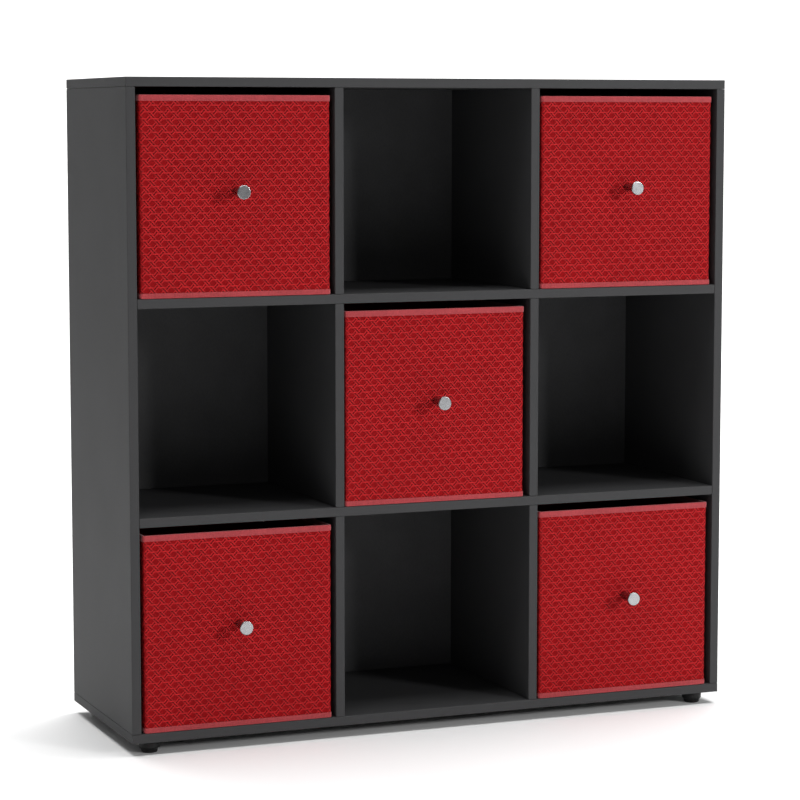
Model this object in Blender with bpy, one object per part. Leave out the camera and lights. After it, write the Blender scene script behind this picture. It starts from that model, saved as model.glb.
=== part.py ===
"""Cube storage unit: a free-standing grid of nine board compartments on four feet,
five of them holding a pull-out woven box with a turned metal knob.

Metres, +Z up. The unit stands on z = 0, centred on x = 0, and its open side faces -Y.
The y origin is halfway between the knobs' faces and the back edges of the boards.
"""

import math

import bmesh
import bpy
from mathutils import Matrix, Vector

# ---- carcass ----
COLUMN_NAMES = ("left", "middle", "right")
ROW_NAMES = ("bottom", "middle", "top")
OPENING_WIDTH = 0.330  # clear width of one compartment
OPENING_HEIGHT = 0.330  # clear height of one compartment
BOARD = 0.015  # thickness of every carcass board
DEPTH = 0.348  # front edge to back edge of the outer boards
EDGE_ROUND = 0.0006  # broken edge of a board's banding
GAP = 0.0003  # clearance between two pieces that touch

# ---- back strips, one for each row, held in grooves ----
BACK_THICKNESS = 0.003
BACK_INSET = 0.014  # back edge of the boards to the strip's rear face
GROOVE_DEPTH = 0.005

# ---- glued dowels and the screws that hold the bottom panel ----
DOWEL_RADIUS = 0.004
DOWEL_REACH = 0.010  # length standing out of the board that carries it
DOWEL_INSET = 0.055  # from a board's front or back edge to the nearest dowel
DOWEL_STAGGER = 0.030  # further inset of the dowels under a divider
PANEL_SCREW_RADIUS = 0.0032
PANEL_SCREW_HEAD_RADIUS = 0.0050
PANEL_SCREW_HEAD_HEIGHT = 0.0040
PANEL_SCREW_RECESS = 0.0008
PANEL_SCREW_LENGTH = 0.050

# ---- feet ----
FOOT_HEIGHT = 0.020
FOOT_SIDE_INSET = 0.036  # side panel's outer face to the foot's axis
FOOT_END_INSET = 0.0275  # front or back edge to the foot's axis
FOOT_TOP_RADIUS = 0.0165
FOOT_TOP_STAGE = 0.012  # height of the wide upper stage
FOOT_TAPER = 0.002
FOOT_LOWER_RADIUS = 0.0140
FOOT_SOLE_RADIUS = 0.0130
FOOT_SOLE_ROUND = 0.0015
FOOT_BORE_RADIUS = 0.0055  # counterbore that hides the screw head
FOOT_WEB = 0.011  # plastic left above the counterbore
FOOT_SCREW_RADIUS = 0.0020
FOOT_SCREW_HEAD_RADIUS = 0.0045
FOOT_SCREW_HEAD_HEIGHT = 0.0026
FOOT_SCREW_BITE = 0.0115  # length of thread in the bottom panel

# ---- boxes ----
BOX_SIDE_PLAY = 0.012  # opening width less box width
BOX_TOP_PLAY = 0.013  # opening height less box height
BOX_BACK_PLAY = 0.011  # box's rear face to the back strip
BOX_SHIFT = (-0.0010, -0.0045, -0.0030)  # each column's box stands this far off centre
BOX_CORNER = 0.007  # outer radius of the upright corners
BOX_WALL = 0.0026
BOX_FLOOR = 0.0026
BINDING_THICKNESS = 0.0007
TOP_BINDING_HEIGHT = 0.0095
LOW_BINDING_HEIGHT = 0.0085
LOW_BINDING_LIFT = 0.0005  # the low binding stays clear of the shelf
INSERT_THICKNESS = 0.0020
INSERT_PLAY = 0.0010

# ---- knobs ----
KNOB_RISE = 0.007  # knob axis above the middle of the box's height
KNOB_LENGTH = 0.0395
KNOB_NECK_RADIUS = 0.0062
KNOB_FLARE_RADIUS = 0.0082
KNOB_HEAD_RADIUS = 0.01125
KNOB_NECK_LENGTH = 0.0300
KNOB_RIM = 0.0030  # straight side of the head
KNOB_CHAMFER = 0.0009
KNOB_BORE_DEPTH = 0.013
KNOB_SCREW_RADIUS = 0.0020
KNOB_SCREW_HEAD_RADIUS = 0.0040
KNOB_SCREW_HEAD_HEIGHT = 0.0022
KNOB_WASHER_RADIUS = 0.0070
KNOB_WASHER_THICKNESS = 0.0010
KNOB_SCREW_BITE = 0.0105  # length of thread in the knob
SCREW_CLEARANCE = 0.0005  # radial room in a hole that a screw only passes through

# ---- roundness ----
PEG_SIDES = 8
SCREW_SIDES = 10
FOOT_SIDES = 24
KNOB_SIDES = 24
CORNER_STEPS = 3
NECK_STEPS = 4

# ---- what follows from the sizes above ----
COLUMNS = len(COLUMN_NAMES)
ROWS = len(ROW_NAMES)
WIDTH = COLUMNS * OPENING_WIDTH + (COLUMNS + 1) * BOARD
BODY_HEIGHT = ROWS * OPENING_HEIGHT + (ROWS + 1) * BOARD
BINDING_PROUD = BINDING_THICKNESS + GAP
KNOB_REACH = KNOB_LENGTH + GAP - BINDING_PROUD  # in front of the board edges
FRONT_Y = (KNOB_REACH - DEPTH) / 2
BACK_Y = FRONT_Y + DEPTH
OUTER_X = WIDTH / 2
INNER_X = OUTER_X - BOARD
BASE_Z = FOOT_HEIGHT
TOP_Z = BASE_Z + BODY_HEIGHT
STRIP_REAR_Y = BACK_Y - BACK_INSET
STRIP_FRONT_Y = STRIP_REAR_Y - BACK_THICKNESS
STRIP_EDGE = GROOVE_DEPTH - GAP  # how far a strip reaches into its grooves
DIVIDER_BACK_Y = STRIP_FRONT_Y - GAP

BOX_WIDTH = OPENING_WIDTH - BOX_SIDE_PLAY
BOX_HEIGHT = OPENING_HEIGHT - BOX_TOP_PLAY
BOX_DEPTH = STRIP_FRONT_Y - BOX_BACK_PLAY - FRONT_Y
SHELL_WIDTH = BOX_WIDTH - 2 * BINDING_PROUD
SHELL_DEPTH = BOX_DEPTH - 2 * BINDING_PROUD
SHELL_HEIGHT = BOX_HEIGHT - BINDING_PROUD
SHELL_CORNER = BOX_CORNER - BINDING_PROUD
KNOB_HEIGHT = BOX_HEIGHT / 2 + KNOB_RISE

MATERIALS = {
    "board_laminate": ((0.066, 0.066, 0.069), 0.45, 0.0),
    "back_panel": ((0.030, 0.030, 0.032), 0.60, 0.0),
    "foot_plastic": ((0.012, 0.012, 0.013), 0.45, 0.0),
    "screw_steel": ((0.55, 0.55, 0.54), 0.35, 1.0),
    "box_weave": ((0.320, 0.012, 0.017), 0.60, 0.0),
    "box_binding": ((0.520, 0.068, 0.080), 0.70, 0.0),
    "box_insert": ((0.140, 0.010, 0.012), 0.85, 0.0),
    "knob_metal": ((0.62, 0.63, 0.65), 0.28, 1.0),
}


def clear_scene():
    for obj in list(bpy.data.objects):
        bpy.data.objects.remove(obj, do_unlink=True)


def material(name):
    """The named material, made the first time that it is asked for."""
    if name in bpy.data.materials:
        return bpy.data.materials[name]
    colour, roughness, metallic = MATERIALS[name]
    made = bpy.data.materials.new(name)
    made.use_nodes = True
    shader = made.node_tree.nodes["Principled BSDF"]
    shader.inputs["Base Color"].default_value = (*colour, 1.0)
    shader.inputs["Roughness"].default_value = roughness
    shader.inputs["Metallic"].default_value = metallic
    return made


def add_object(name, bm, finish=None, location=(0, 0, 0)):
    """An object made from a bmesh, with its origin at the location."""
    bmesh.ops.recalc_face_normals(bm, faces=bm.faces)
    mesh = bpy.data.meshes.new(name)
    bm.to_mesh(mesh)
    bm.free()
    obj = bpy.data.objects.new(name, mesh)
    bpy.context.scene.collection.objects.link(obj)
    obj.location = location
    if finish:
        mesh.materials.append(material(finish))
    return obj


def shade_round(obj, sharp_degrees=35):
    obj.data.shade_smooth()
    obj.data.set_sharp_from_angle(angle=math.radians(sharp_degrees))


def add_block(bm, low, high):
    """A plain block between two corners."""
    low, high = Vector(low), Vector(high)
    size = high - low
    place = Matrix.Translation((low + high) / 2) @ Matrix.Diagonal((*size, 1.0))
    bmesh.ops.create_cube(bm, size=1.0, matrix=place)


def add_rod(bm, start, axis, length, radius, sides=PEG_SIDES, end_radius=None):
    """A round rod from a start point along an axis."""
    direction = Vector(axis).normalized()
    turn = direction.to_track_quat("Z", "Y").to_matrix().to_4x4()
    centre = Vector(start) + direction * (length / 2)
    bmesh.ops.create_cone(
        bm,
        cap_ends=True,
        segments=sides,
        radius1=radius,
        radius2=radius if end_radius is None else end_radius,
        depth=length,
        matrix=Matrix.Translation(centre) @ turn,
    )


def add_boolean(obj, tool, operation):
    """Joins the tool to the object or cuts it away, and hides the tool."""
    tool.hide_render = True
    tool.display_type = "WIRE"
    step = obj.modifiers.new(operation.lower(), "BOOLEAN")
    step.operation = operation
    step.solver = "EXACT"
    step.object = tool


def add_turned(bm, profile, sides, centre=(0, 0, 0), closed_ring=False):
    """Turns a profile of (radius, height) points about an upright axis through the centre.

    A profile that starts and ends on the axis is solid. A closed ring joins its last point
    to its first and leaves a hole through the middle.
    """
    centre = Vector(centre)
    points = [bm.verts.new(centre + Vector((radius, 0.0, height))) for radius, height in profile]
    edges = [bm.edges.new(pair) for pair in zip(points, points[1:])]
    if closed_ring:
        edges.append(bm.edges.new((points[-1], points[0])))
    bmesh.ops.spin(
        bm,
        geom=points + edges,
        cent=centre,
        axis=(0, 0, 1),
        angle=2 * math.pi,
        steps=sides,
        use_merge=True,
    )
    bmesh.ops.remove_doubles(bm, verts=bm.verts, dist=0.000001)


def turned(name, profile, sides, finish, closed_ring=False):
    """A turned piece about its own Z axis."""
    bm = bmesh.new()
    add_turned(bm, profile, sides, closed_ring=closed_ring)
    obj = add_object(name, bm, finish)
    shade_round(obj)
    return obj


def outline(bm, width, depth, radius, offset, height):
    """The vertices of one rounded rectangle, pushed out by the offset, at a height."""
    bend = radius + offset
    half_x = width / 2 - radius
    half_y = depth / 2 - radius
    loop = []
    for corner, (side_x, side_y) in enumerate(((1, 1), (-1, 1), (-1, -1), (1, -1))):
        for step in range(CORNER_STEPS + 1):
            angle = math.pi / 2 * (corner + step / CORNER_STEPS)
            x = side_x * half_x + bend * math.cos(angle)
            y = side_y * half_y + bend * math.sin(angle)
            loop.append(bm.verts.new((x, y, height)))
    return loop


def loft_round_the_box(name, section, finish, capped):
    """A piece that follows the box's outline. The section lists (offset, height) points,
    where the offset is measured outwards from the shell's outer face.

    A capped section runs from one end face to the other; an open one closes on itself.
    """
    bm = bmesh.new()
    loops = [
        outline(bm, SHELL_WIDTH, SHELL_DEPTH, SHELL_CORNER, offset, height)
        for offset, height in section
    ]
    pairs = list(zip(loops, loops[1:]))
    if capped:
        bm.faces.new(loops[0])
        bm.faces.new(loops[-1])
    else:
        pairs.append((loops[-1], loops[0]))
    for lower, upper in pairs:
        count = len(lower)
        for i in range(count):
            j = (i + 1) % count
            bm.faces.new((lower[i], lower[j], upper[j], upper[i]))
    obj = add_object(name, bm, finish)
    shade_round(obj)
    return obj


class Board:
    """A carcass board, with the dowels that it carries and what is cut out of it."""

    def __init__(self, name, low, high, finish="board_laminate", rounding=EDGE_ROUND):
        self.name = name
        self.low = Vector(low)
        self.high = Vector(high)
        self.finish = finish
        self.rounding = rounding
        self.pegs = bmesh.new()
        self.cuts = bmesh.new()

    def build(self):
        centre = (self.low + self.high) / 2
        bm = bmesh.new()
        add_block(bm, self.low - centre, self.high - centre)
        obj = add_object(self.name, bm, self.finish, location=centre)
        if self.rounding:
            bevel = obj.modifiers.new("rounded_edges", "BEVEL")
            bevel.width = self.rounding
            bevel.segments = 1
            bevel.limit_method = "ANGLE"
        if self.cuts.verts:
            tool = add_object(self.name + "_cuts", self.cuts)
            add_boolean(obj, tool, "DIFFERENCE")
        if self.pegs.verts:
            tool = add_object(self.name + "_pegs", self.pegs)
            add_boolean(obj, tool, "UNION")
        return obj


def join_with_dowels(carrier, receiver, point, axis):
    """A dowel glued into the carrier, standing along the axis into the receiver's hole.

    The point lies on the receiver's face.
    """
    direction = Vector(axis)
    point = Vector(point)
    root = point - direction * DOWEL_REACH
    add_rod(carrier.pegs, root, direction, 2 * DOWEL_REACH, DOWEL_RADIUS)
    mouth = point - direction * DOWEL_RADIUS
    bore = DOWEL_RADIUS + DOWEL_REACH + 2 * GAP
    add_rod(receiver.cuts, mouth, direction, bore, DOWEL_RADIUS + GAP)


def column_x(column):
    """The middle of a compartment, across."""
    return -INNER_X + OPENING_WIDTH / 2 + column * (OPENING_WIDTH + BOARD)


def row_z(row):
    """The top face of the board under a compartment."""
    return BASE_Z + BOARD + row * (OPENING_HEIGHT + BOARD)


def build_carcass():
    bottom = Board("bottom_panel", (-OUTER_X, FRONT_Y, BASE_Z), (OUTER_X, BACK_Y, BASE_Z + BOARD))
    top = Board("top_panel", (-OUTER_X, FRONT_Y, TOP_Z - BOARD), (OUTER_X, BACK_Y, TOP_Z))
    sides = {}
    for name, inner, outer in (("left", -INNER_X, -OUTER_X), ("right", INNER_X, OUTER_X)):
        sides[name] = Board(
            "side_panel_" + name,
            (min(inner, outer), FRONT_Y, BASE_Z + BOARD + GAP),
            (max(inner, outer), BACK_Y, TOP_Z - BOARD - GAP),
        )
    shelves = []
    for row, name in ((1, "lower"), (2, "upper")):
        shelves.append(
            Board(
                "shelf_" + name,
                (-INNER_X + GAP, FRONT_Y, row_z(row) - BOARD),
                (INNER_X - GAP, BACK_Y, row_z(row)),
            )
        )
    levels = [bottom, *shelves, top]

    front_pegs = FRONT_Y + DOWEL_INSET
    for sign, name in ((-1, "left"), (1, "right")):
        side = sides[name]
        for y in (front_pegs, BACK_Y - DOWEL_INSET):
            join_with_dowels(side, top, (sign * (OUTER_X - BOARD / 2), y, TOP_Z - BOARD), (0, 0, 1))
            for shelf in shelves:
                middle = (shelf.low.z + shelf.high.z) / 2
                join_with_dowels(shelf, side, (sign * INNER_X, y, middle), (sign, 0, 0))

    dividers = []
    for row, row_name in enumerate(ROW_NAMES):
        below, above = levels[row], levels[row + 1]
        for column in range(1, COLUMNS):
            x = column_x(column) - (OPENING_WIDTH + BOARD) / 2
            side_name = COLUMN_NAMES[0] if column == 1 else COLUMN_NAMES[-1]
            divider = Board(
                f"divider_{row_name}_{side_name}",
                (x - BOARD / 2, FRONT_Y, row_z(row) + GAP),
                (x + BOARD / 2, DIVIDER_BACK_Y, row_z(row) + OPENING_HEIGHT - GAP),
            )
            for edge, inward in ((FRONT_Y, 1), (DIVIDER_BACK_Y, -1)):
                upper_y = edge + inward * DOWEL_INSET
                lower_y = upper_y + inward * DOWEL_STAGGER
                join_with_dowels(divider, above, (x, upper_y, row_z(row) + OPENING_HEIGHT), (0, 0, 1))
                join_with_dowels(divider, below, (x, lower_y, row_z(row)), (0, 0, -1))
            dividers.append(divider)

    cut_back_grooves(bottom, top, sides, shelves)
    place_panel_screws(bottom, sides)
    place_feet(bottom)
    for board in (*levels, *sides.values(), *dividers):
        board.build()
    for row, row_name in enumerate(ROW_NAMES):
        Board(
            "back_strip_" + row_name,
            (-INNER_X - STRIP_EDGE, STRIP_FRONT_Y, row_z(row) - STRIP_EDGE),
            (INNER_X + STRIP_EDGE, STRIP_REAR_Y, row_z(row) + OPENING_HEIGHT + STRIP_EDGE),
            finish="back_panel",
            rounding=0,
        ).build()


def cut_back_grooves(bottom, top, sides, shelves):
    """Grooves that the back strips slide into: stopped in the outer panels, through elsewhere."""
    front = STRIP_FRONT_Y - GAP
    rear = STRIP_REAR_Y + GAP
    past = BOARD  # how far a through groove's cutter runs on past the board
    stopped = INNER_X + GROOVE_DEPTH
    for board, face, depth in (
        (bottom, bottom.high.z, -GROOVE_DEPTH),
        (top, top.low.z, GROOVE_DEPTH),
    ):
        floor = face + depth
        mouth = face - math.copysign(past, depth)
        add_block(board.cuts, (-stopped, front, min(floor, mouth)), (stopped, rear, max(floor, mouth)))
    for shelf in shelves:
        run = INNER_X + past
        above = shelf.high.z
        below = shelf.low.z
        add_block(shelf.cuts, (-run, front, above - GROOVE_DEPTH), (run, rear, above + past))
        add_block(shelf.cuts, (-run, front, below - past), (run, rear, below + GROOVE_DEPTH))
    for sign, name in ((-1, "left"), (1, "right")):
        side = sides[name]
        edges = sorted((sign * (INNER_X - past), sign * (INNER_X + GROOVE_DEPTH)))
        add_block(
            side.cuts,
            (edges[0], front, side.low.z - past),
            (edges[1], rear, side.high.z + past),
        )


def place_panel_screws(bottom, sides):
    """Countersunk screws that run up through the bottom panel into the side panels."""
    head_z = BASE_Z + PANEL_SCREW_RECESS
    tip = head_z + PANEL_SCREW_LENGTH
    taper = PANEL_SCREW_RADIUS
    hole = PANEL_SCREW_RADIUS + GAP
    mouth = PANEL_SCREW_HEAD_RADIUS + GAP
    hole_profile = (
        (0.0, BASE_Z - BOARD),
        (mouth, BASE_Z - BOARD),
        (mouth, head_z + PANEL_SCREW_HEAD_HEIGHT / 4 + GAP),
        (hole, head_z + PANEL_SCREW_HEAD_HEIGHT + GAP),
        (hole, BASE_Z + 2 * BOARD),
        (0.0, BASE_Z + 2 * BOARD),
    )
    profile = (
        (0.0, 0.0),
        (PANEL_SCREW_HEAD_RADIUS, 0.0),
        (PANEL_SCREW_HEAD_RADIUS, PANEL_SCREW_HEAD_HEIGHT / 4),
        (PANEL_SCREW_RADIUS, PANEL_SCREW_HEAD_HEIGHT),
        (PANEL_SCREW_RADIUS, PANEL_SCREW_LENGTH - taper),
        (0.0, PANEL_SCREW_LENGTH),
    )
    for sign, side_name in ((-1, "left"), (1, "right")):
        x = sign * (OUTER_X - BOARD / 2)
        for y, end_name in ((FRONT_Y + DOWEL_INSET, "front"), (BACK_Y - DOWEL_INSET, "rear")):
            screw = turned(f"panel_screw_{side_name}_{end_name}", profile, SCREW_SIDES, "screw_steel")
            screw.location = (x, y, head_z)
            add_turned(bottom.cuts, hole_profile, SCREW_SIDES, centre=(x, y, 0))
            pilot_start = sides[side_name].low.z - BOARD
            pilot_length = tip + GAP - pilot_start
            add_rod(sides[side_name].cuts, (x, y, pilot_start), (0, 0, 1), pilot_length, hole, SCREW_SIDES)


def place_feet(bottom):
    """Turned plastic feet, each held by a screw in a counterbore."""
    top = FOOT_HEIGHT - GAP
    shoulder = FOOT_HEIGHT - FOOT_TOP_STAGE
    seat = FOOT_HEIGHT - FOOT_WEB
    passage = FOOT_SCREW_RADIUS + SCREW_CLEARANCE
    round_steps = 3
    sole = []
    for step in range(round_steps + 1):
        angle = math.pi / 2 * step / round_steps
        inset = FOOT_SOLE_ROUND * (1 - math.sin(angle))
        lift = FOOT_SOLE_ROUND * (1 - math.cos(angle))
        sole.append((FOOT_SOLE_RADIUS - inset, lift))
    foot_profile = [
        (passage, top),
        (passage, seat),
        (FOOT_BORE_RADIUS, seat),
        (FOOT_BORE_RADIUS, 0.0),
        *sole,
        (FOOT_LOWER_RADIUS, shoulder - FOOT_TAPER),
        (FOOT_TOP_RADIUS, shoulder),
        (FOOT_TOP_RADIUS, top),
    ]
    head_top = seat - GAP
    screw_tip = FOOT_HEIGHT + FOOT_SCREW_BITE
    screw_profile = (
        (0.0, head_top - FOOT_SCREW_HEAD_HEIGHT),
        (FOOT_SCREW_HEAD_RADIUS * 0.7, head_top - FOOT_SCREW_HEAD_HEIGHT),
        (FOOT_SCREW_HEAD_RADIUS, head_top - FOOT_SCREW_HEAD_HEIGHT / 2),
        (FOOT_SCREW_HEAD_RADIUS, head_top),
        (FOOT_SCREW_RADIUS, head_top),
        (FOOT_SCREW_RADIUS, screw_tip - FOOT_SCREW_RADIUS),
        (0.0, screw_tip),
    )
    for sign, side_name in ((-1, "left"), (1, "right")):
        x = sign * (OUTER_X - FOOT_SIDE_INSET)
        for y, end_name in ((FRONT_Y + FOOT_END_INSET, "front"), (BACK_Y - FOOT_END_INSET, "rear")):
            place = f"{side_name}_{end_name}"
            foot = turned("foot_" + place, foot_profile, FOOT_SIDES, "foot_plastic", closed_ring=True)
            foot.location = (x, y, 0)
            screw = turned("foot_screw_" + place, screw_profile, SCREW_SIDES, "screw_steel")
            screw.location = (x, y, 0)
            pilot_length = BOARD + FOOT_SCREW_BITE + GAP
            add_rod(
                bottom.cuts,
                (x, y, BASE_Z - BOARD),
                (0, 0, 1),
                pilot_length,
                FOOT_SCREW_RADIUS + GAP,
                SCREW_SIDES,
            )


def knob_profile():
    """The knob's outline from its bore round to its face, as (radius, distance from the box)."""
    bore = KNOB_SCREW_RADIUS + GAP
    points = [(0.0, KNOB_BORE_DEPTH), (bore, KNOB_BORE_DEPTH), (bore, 0.0)]
    for step in range(NECK_STEPS + 1):
        share = step / NECK_STEPS
        swell = (KNOB_FLARE_RADIUS - KNOB_NECK_RADIUS) * share**2
        points.append((KNOB_NECK_RADIUS + swell, KNOB_NECK_LENGTH * share))
    rim_start = KNOB_LENGTH - KNOB_RIM
    points += [
        (KNOB_HEAD_RADIUS, rim_start),
        (KNOB_HEAD_RADIUS, KNOB_LENGTH - KNOB_CHAMFER),
        (KNOB_HEAD_RADIUS - KNOB_CHAMFER, KNOB_LENGTH),
        (0.0, KNOB_LENGTH),
    ]
    return points


def build_box(name, x, shelf_z):
    """One woven box on its shelf, carried by an empty at the foot of its front."""
    carrier = bpy.data.objects.new(name, None)
    bpy.context.scene.collection.objects.link(carrier)
    carrier.location = (x, FRONT_Y, shelf_z + GAP)
    middle = Vector((0, BOX_DEPTH / 2, 0))

    # The stiff core is folded from flat card, so the walls meet square inside.
    inside = -BOX_WALL
    shell = loft_round_the_box(
        name + "_shell",
        ((0.0, 0.0), (0.0, SHELL_HEIGHT)),
        "box_weave",
        capped=True,
    )
    half_x = SHELL_WIDTH / 2 - BOX_WALL
    half_y = SHELL_DEPTH / 2 - BOX_WALL
    space = bmesh.new()
    add_block(
        space,
        (-half_x, -half_y, BOX_FLOOR),
        (half_x, half_y, SHELL_HEIGHT + BOX_WALL),
    )
    hollow = add_object(name + "_hollow", space)
    add_boolean(shell, hollow, "DIFFERENCE")
    hole = bmesh.new()
    add_rod(
        hole,
        (0, -SHELL_DEPTH / 2 - BOX_WALL, KNOB_HEIGHT),
        (0, 1, 0),
        3 * BOX_WALL,
        KNOB_SCREW_RADIUS + SCREW_CLEARANCE,
        SCREW_SIDES,
    )
    tool = add_object(name + "_knob_hole", hole)
    add_boolean(shell, tool, "DIFFERENCE")

    insert = loft_round_the_box(
        name + "_base_insert",
        (
            (inside - INSERT_PLAY, BOX_FLOOR + GAP),
            (inside - INSERT_PLAY, BOX_FLOOR + GAP + INSERT_THICKNESS),
        ),
        "box_insert",
        capped=True,
    )
    skirt_foot = BOX_HEIGHT - TOP_BINDING_HEIGHT
    top_binding = loft_round_the_box(
        name + "_top_binding",
        (
            (GAP, skirt_foot),
            (BINDING_PROUD, skirt_foot),
            (BINDING_PROUD, BOX_HEIGHT),
            (inside - BINDING_PROUD, BOX_HEIGHT),
            (inside - BINDING_PROUD, skirt_foot),
            (inside - GAP, skirt_foot),
            (inside - GAP, SHELL_HEIGHT + GAP),
            (GAP, SHELL_HEIGHT + GAP),
        ),
        "box_binding",
        capped=False,
    )
    low_binding = loft_round_the_box(
        name + "_low_binding",
        (
            (GAP, LOW_BINDING_LIFT),
            (BINDING_PROUD, LOW_BINDING_LIFT),
            (BINDING_PROUD, LOW_BINDING_HEIGHT),
            (GAP, LOW_BINDING_HEIGHT),
        ),
        "box_binding",
        capped=False,
    )
    for piece in (shell, hollow, tool, insert, top_binding, low_binding):
        piece.parent = carrier
        piece.location = middle

    face_forward = math.radians(90)
    shell_front = BINDING_PROUD
    knob = turned(name + "_knob", knob_profile(), KNOB_SIDES, "knob_metal")
    knob.parent = carrier
    knob.location = (0, shell_front - GAP, KNOB_HEIGHT)
    knob.rotation_euler.x = face_forward

    washer_face = -(BOX_WALL + GAP)
    head_face = washer_face - KNOB_WASHER_THICKNESS
    screw_end = GAP + KNOB_SCREW_BITE
    screw = turned(
        name + "_knob_screw",
        (
            (0.0, head_face - KNOB_SCREW_HEAD_HEIGHT),
            (KNOB_SCREW_HEAD_RADIUS * 0.7, head_face - KNOB_SCREW_HEAD_HEIGHT),
            (KNOB_SCREW_HEAD_RADIUS, head_face - KNOB_SCREW_HEAD_HEIGHT / 2),
            (KNOB_SCREW_HEAD_RADIUS, head_face),
            (KNOB_WASHER_RADIUS, head_face),
            (KNOB_WASHER_RADIUS, washer_face),
            (KNOB_SCREW_RADIUS, washer_face),
            (KNOB_SCREW_RADIUS, screw_end),
            (0.0, screw_end),
        ),
        SCREW_SIDES,
        "screw_steel",
    )
    screw.parent = carrier
    screw.location = (0, shell_front, KNOB_HEIGHT)
    screw.rotation_euler.x = face_forward


def build_boxes():
    """The boxes fill every other compartment, like the dark squares of a chequerboard."""
    for row, row_name in enumerate(ROW_NAMES):
        for column, column_name in enumerate(COLUMN_NAMES):
            if (row + column) % 2:
                continue
            centre = row_name == column_name == "middle"
            name = "box_centre" if centre else f"box_{row_name}_{column_name}"
            build_box(name, column_x(column) + BOX_SHIFT[column], row_z(row))


clear_scene()
build_carcass()
build_boxes()
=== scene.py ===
"""A cube storage unit: nine board compartments on round feet, five of them with woven boxes."""

import math

import bpy
from mathutils import Matrix, Vector


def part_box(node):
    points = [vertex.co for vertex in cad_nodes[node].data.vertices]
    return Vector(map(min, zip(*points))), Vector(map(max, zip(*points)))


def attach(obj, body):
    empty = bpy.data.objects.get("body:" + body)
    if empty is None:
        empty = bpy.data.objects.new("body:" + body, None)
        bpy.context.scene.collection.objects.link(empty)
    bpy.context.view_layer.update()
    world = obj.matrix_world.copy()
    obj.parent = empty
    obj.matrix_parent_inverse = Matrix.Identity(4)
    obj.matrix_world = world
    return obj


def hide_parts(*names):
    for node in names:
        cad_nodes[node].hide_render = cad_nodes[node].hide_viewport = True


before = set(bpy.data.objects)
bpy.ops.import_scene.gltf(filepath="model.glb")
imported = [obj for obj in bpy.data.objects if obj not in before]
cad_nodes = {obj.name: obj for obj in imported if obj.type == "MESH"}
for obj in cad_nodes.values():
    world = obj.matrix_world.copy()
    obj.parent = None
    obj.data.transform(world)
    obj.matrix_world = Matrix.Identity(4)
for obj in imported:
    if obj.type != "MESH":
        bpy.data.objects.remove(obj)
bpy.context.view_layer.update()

# ---- boards ----
# Twelve panels of 15 mm chipboard faced with anthracite melamine, held by glued dowels. The
# face has a fine pearl grain, and the front edges are closed with a glued band whose joint
# shows as a hair line.
BOARD_NODES = [
    name
    for name in cad_nodes
    if name.endswith("_panel") or name.startswith(("side_panel", "shelf", "divider"))
]
FRONT_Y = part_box("side_panel_left")[0].y
BAND_DEPTH = 0.0008  # thickness of the edge band
GLUE_LINE = 0.00025  # width of the line between the band and the face
PEARL_SIZE = 0.0011
WORN_AND_HIGHLIT_SPOT_SIZE = 0.018
WORN_AND_HIGHLIGHT_SHARE = 0.15  # how strongly the rubbed spots show, as wear and as painted highlight
ANTHRACITE = (0.047, 0.047, 0.0485, 1)
BAND_ANTHRACITE = (0.050, 0.050, 0.0515, 1)
GLUE_LINE_COLOUR = (0.014, 0.014, 0.015, 1)
WORN_AND_HIGHLIGHT_COLOUR = (0.11, 0.11, 0.11, 1)


def new_finish(name):
    """An empty finish, and its shader."""
    finish = bpy.data.materials.new(name)
    finish.use_nodes = True
    return finish, finish.node_tree.nodes["Principled BSDF"]


def layer(finish, kind, inputs, **settings):
    """One node of a finish. An input is a number, a colour or another node's output."""
    node = finish.node_tree.nodes.new("ShaderNode" + kind)
    for name, value in settings.items():
        setattr(node, name, value)
    for name, value in inputs.items():
        if isinstance(value, bpy.types.NodeSocket):
            finish.node_tree.links.new(value, node.inputs[name])
        else:
            node.inputs[name].default_value = value
    return node


def place_on_piece(finish, stretch=(1, 1, 1)):
    """Metres on the piece itself, stretched along each axis."""
    metres = layer(finish, "TexCoord", {}).outputs["Object"]
    return layer(finish, "Mapping", {"Vector": metres, "Scale": stretch}).outputs["Vector"]


def cloud(finish, place, size, detail=2.0, roughness=0.5):
    """Soft random variation from 0 to 1, with features of about that size."""
    return layer(
        finish,
        "TexNoise",
        {"Vector": place, "Scale": 1 / size, "Detail": detail, "Roughness": roughness},
    ).outputs["Fac"]


def spread(finish, value, low, high, from_low=0.3, from_high=0.7):
    """Stretches a value's range, and holds it inside the new one."""
    ends = {"From Min": from_low, "From Max": from_high, "To Min": low, "To Max": high}
    return layer(finish, "MapRange", {"Value": value, **ends}).outputs["Result"]


def reckon(finish, operation, first, second):
    """Two values put together."""
    return layer(finish, "Math", {0: first, 1: second}, operation=operation).outputs[0]


def tint(finish, colour, strength):
    """A colour made lighter or darker by a value."""
    return layer(
        finish,
        "Mix",
        {"Factor": 1.0, 6: colour, 7: strength},
        data_type="RGBA",
        blend_type="MULTIPLY",
    ).outputs[2]


def blend_colours(finish, share, first, second):
    """The first colour where the share is 0, the second where it is 1."""
    return layer(
        finish,
        "Mix",
        {"Factor": share, 6: first, 7: second},
        data_type="RGBA",
    ).outputs[2]


def raise_surface(finish, shader, height, depth, strength):
    """Fine relief of that depth in metres."""
    bump = layer(finish, "Bump", {"Height": height, "Distance": depth, "Strength": strength})
    finish.node_tree.links.new(bump.outputs["Normal"], shader.inputs["Normal"])


def set_shader(finish, shader, **inputs):
    """Fills the shader's inputs by their names, with spaces as underscores."""
    for name, value in inputs.items():
        socket = shader.inputs[name.replace("_", " ")]
        if isinstance(value, bpy.types.NodeSocket):
            finish.node_tree.links.new(value, socket)
        else:
            socket.default_value = value


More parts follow.
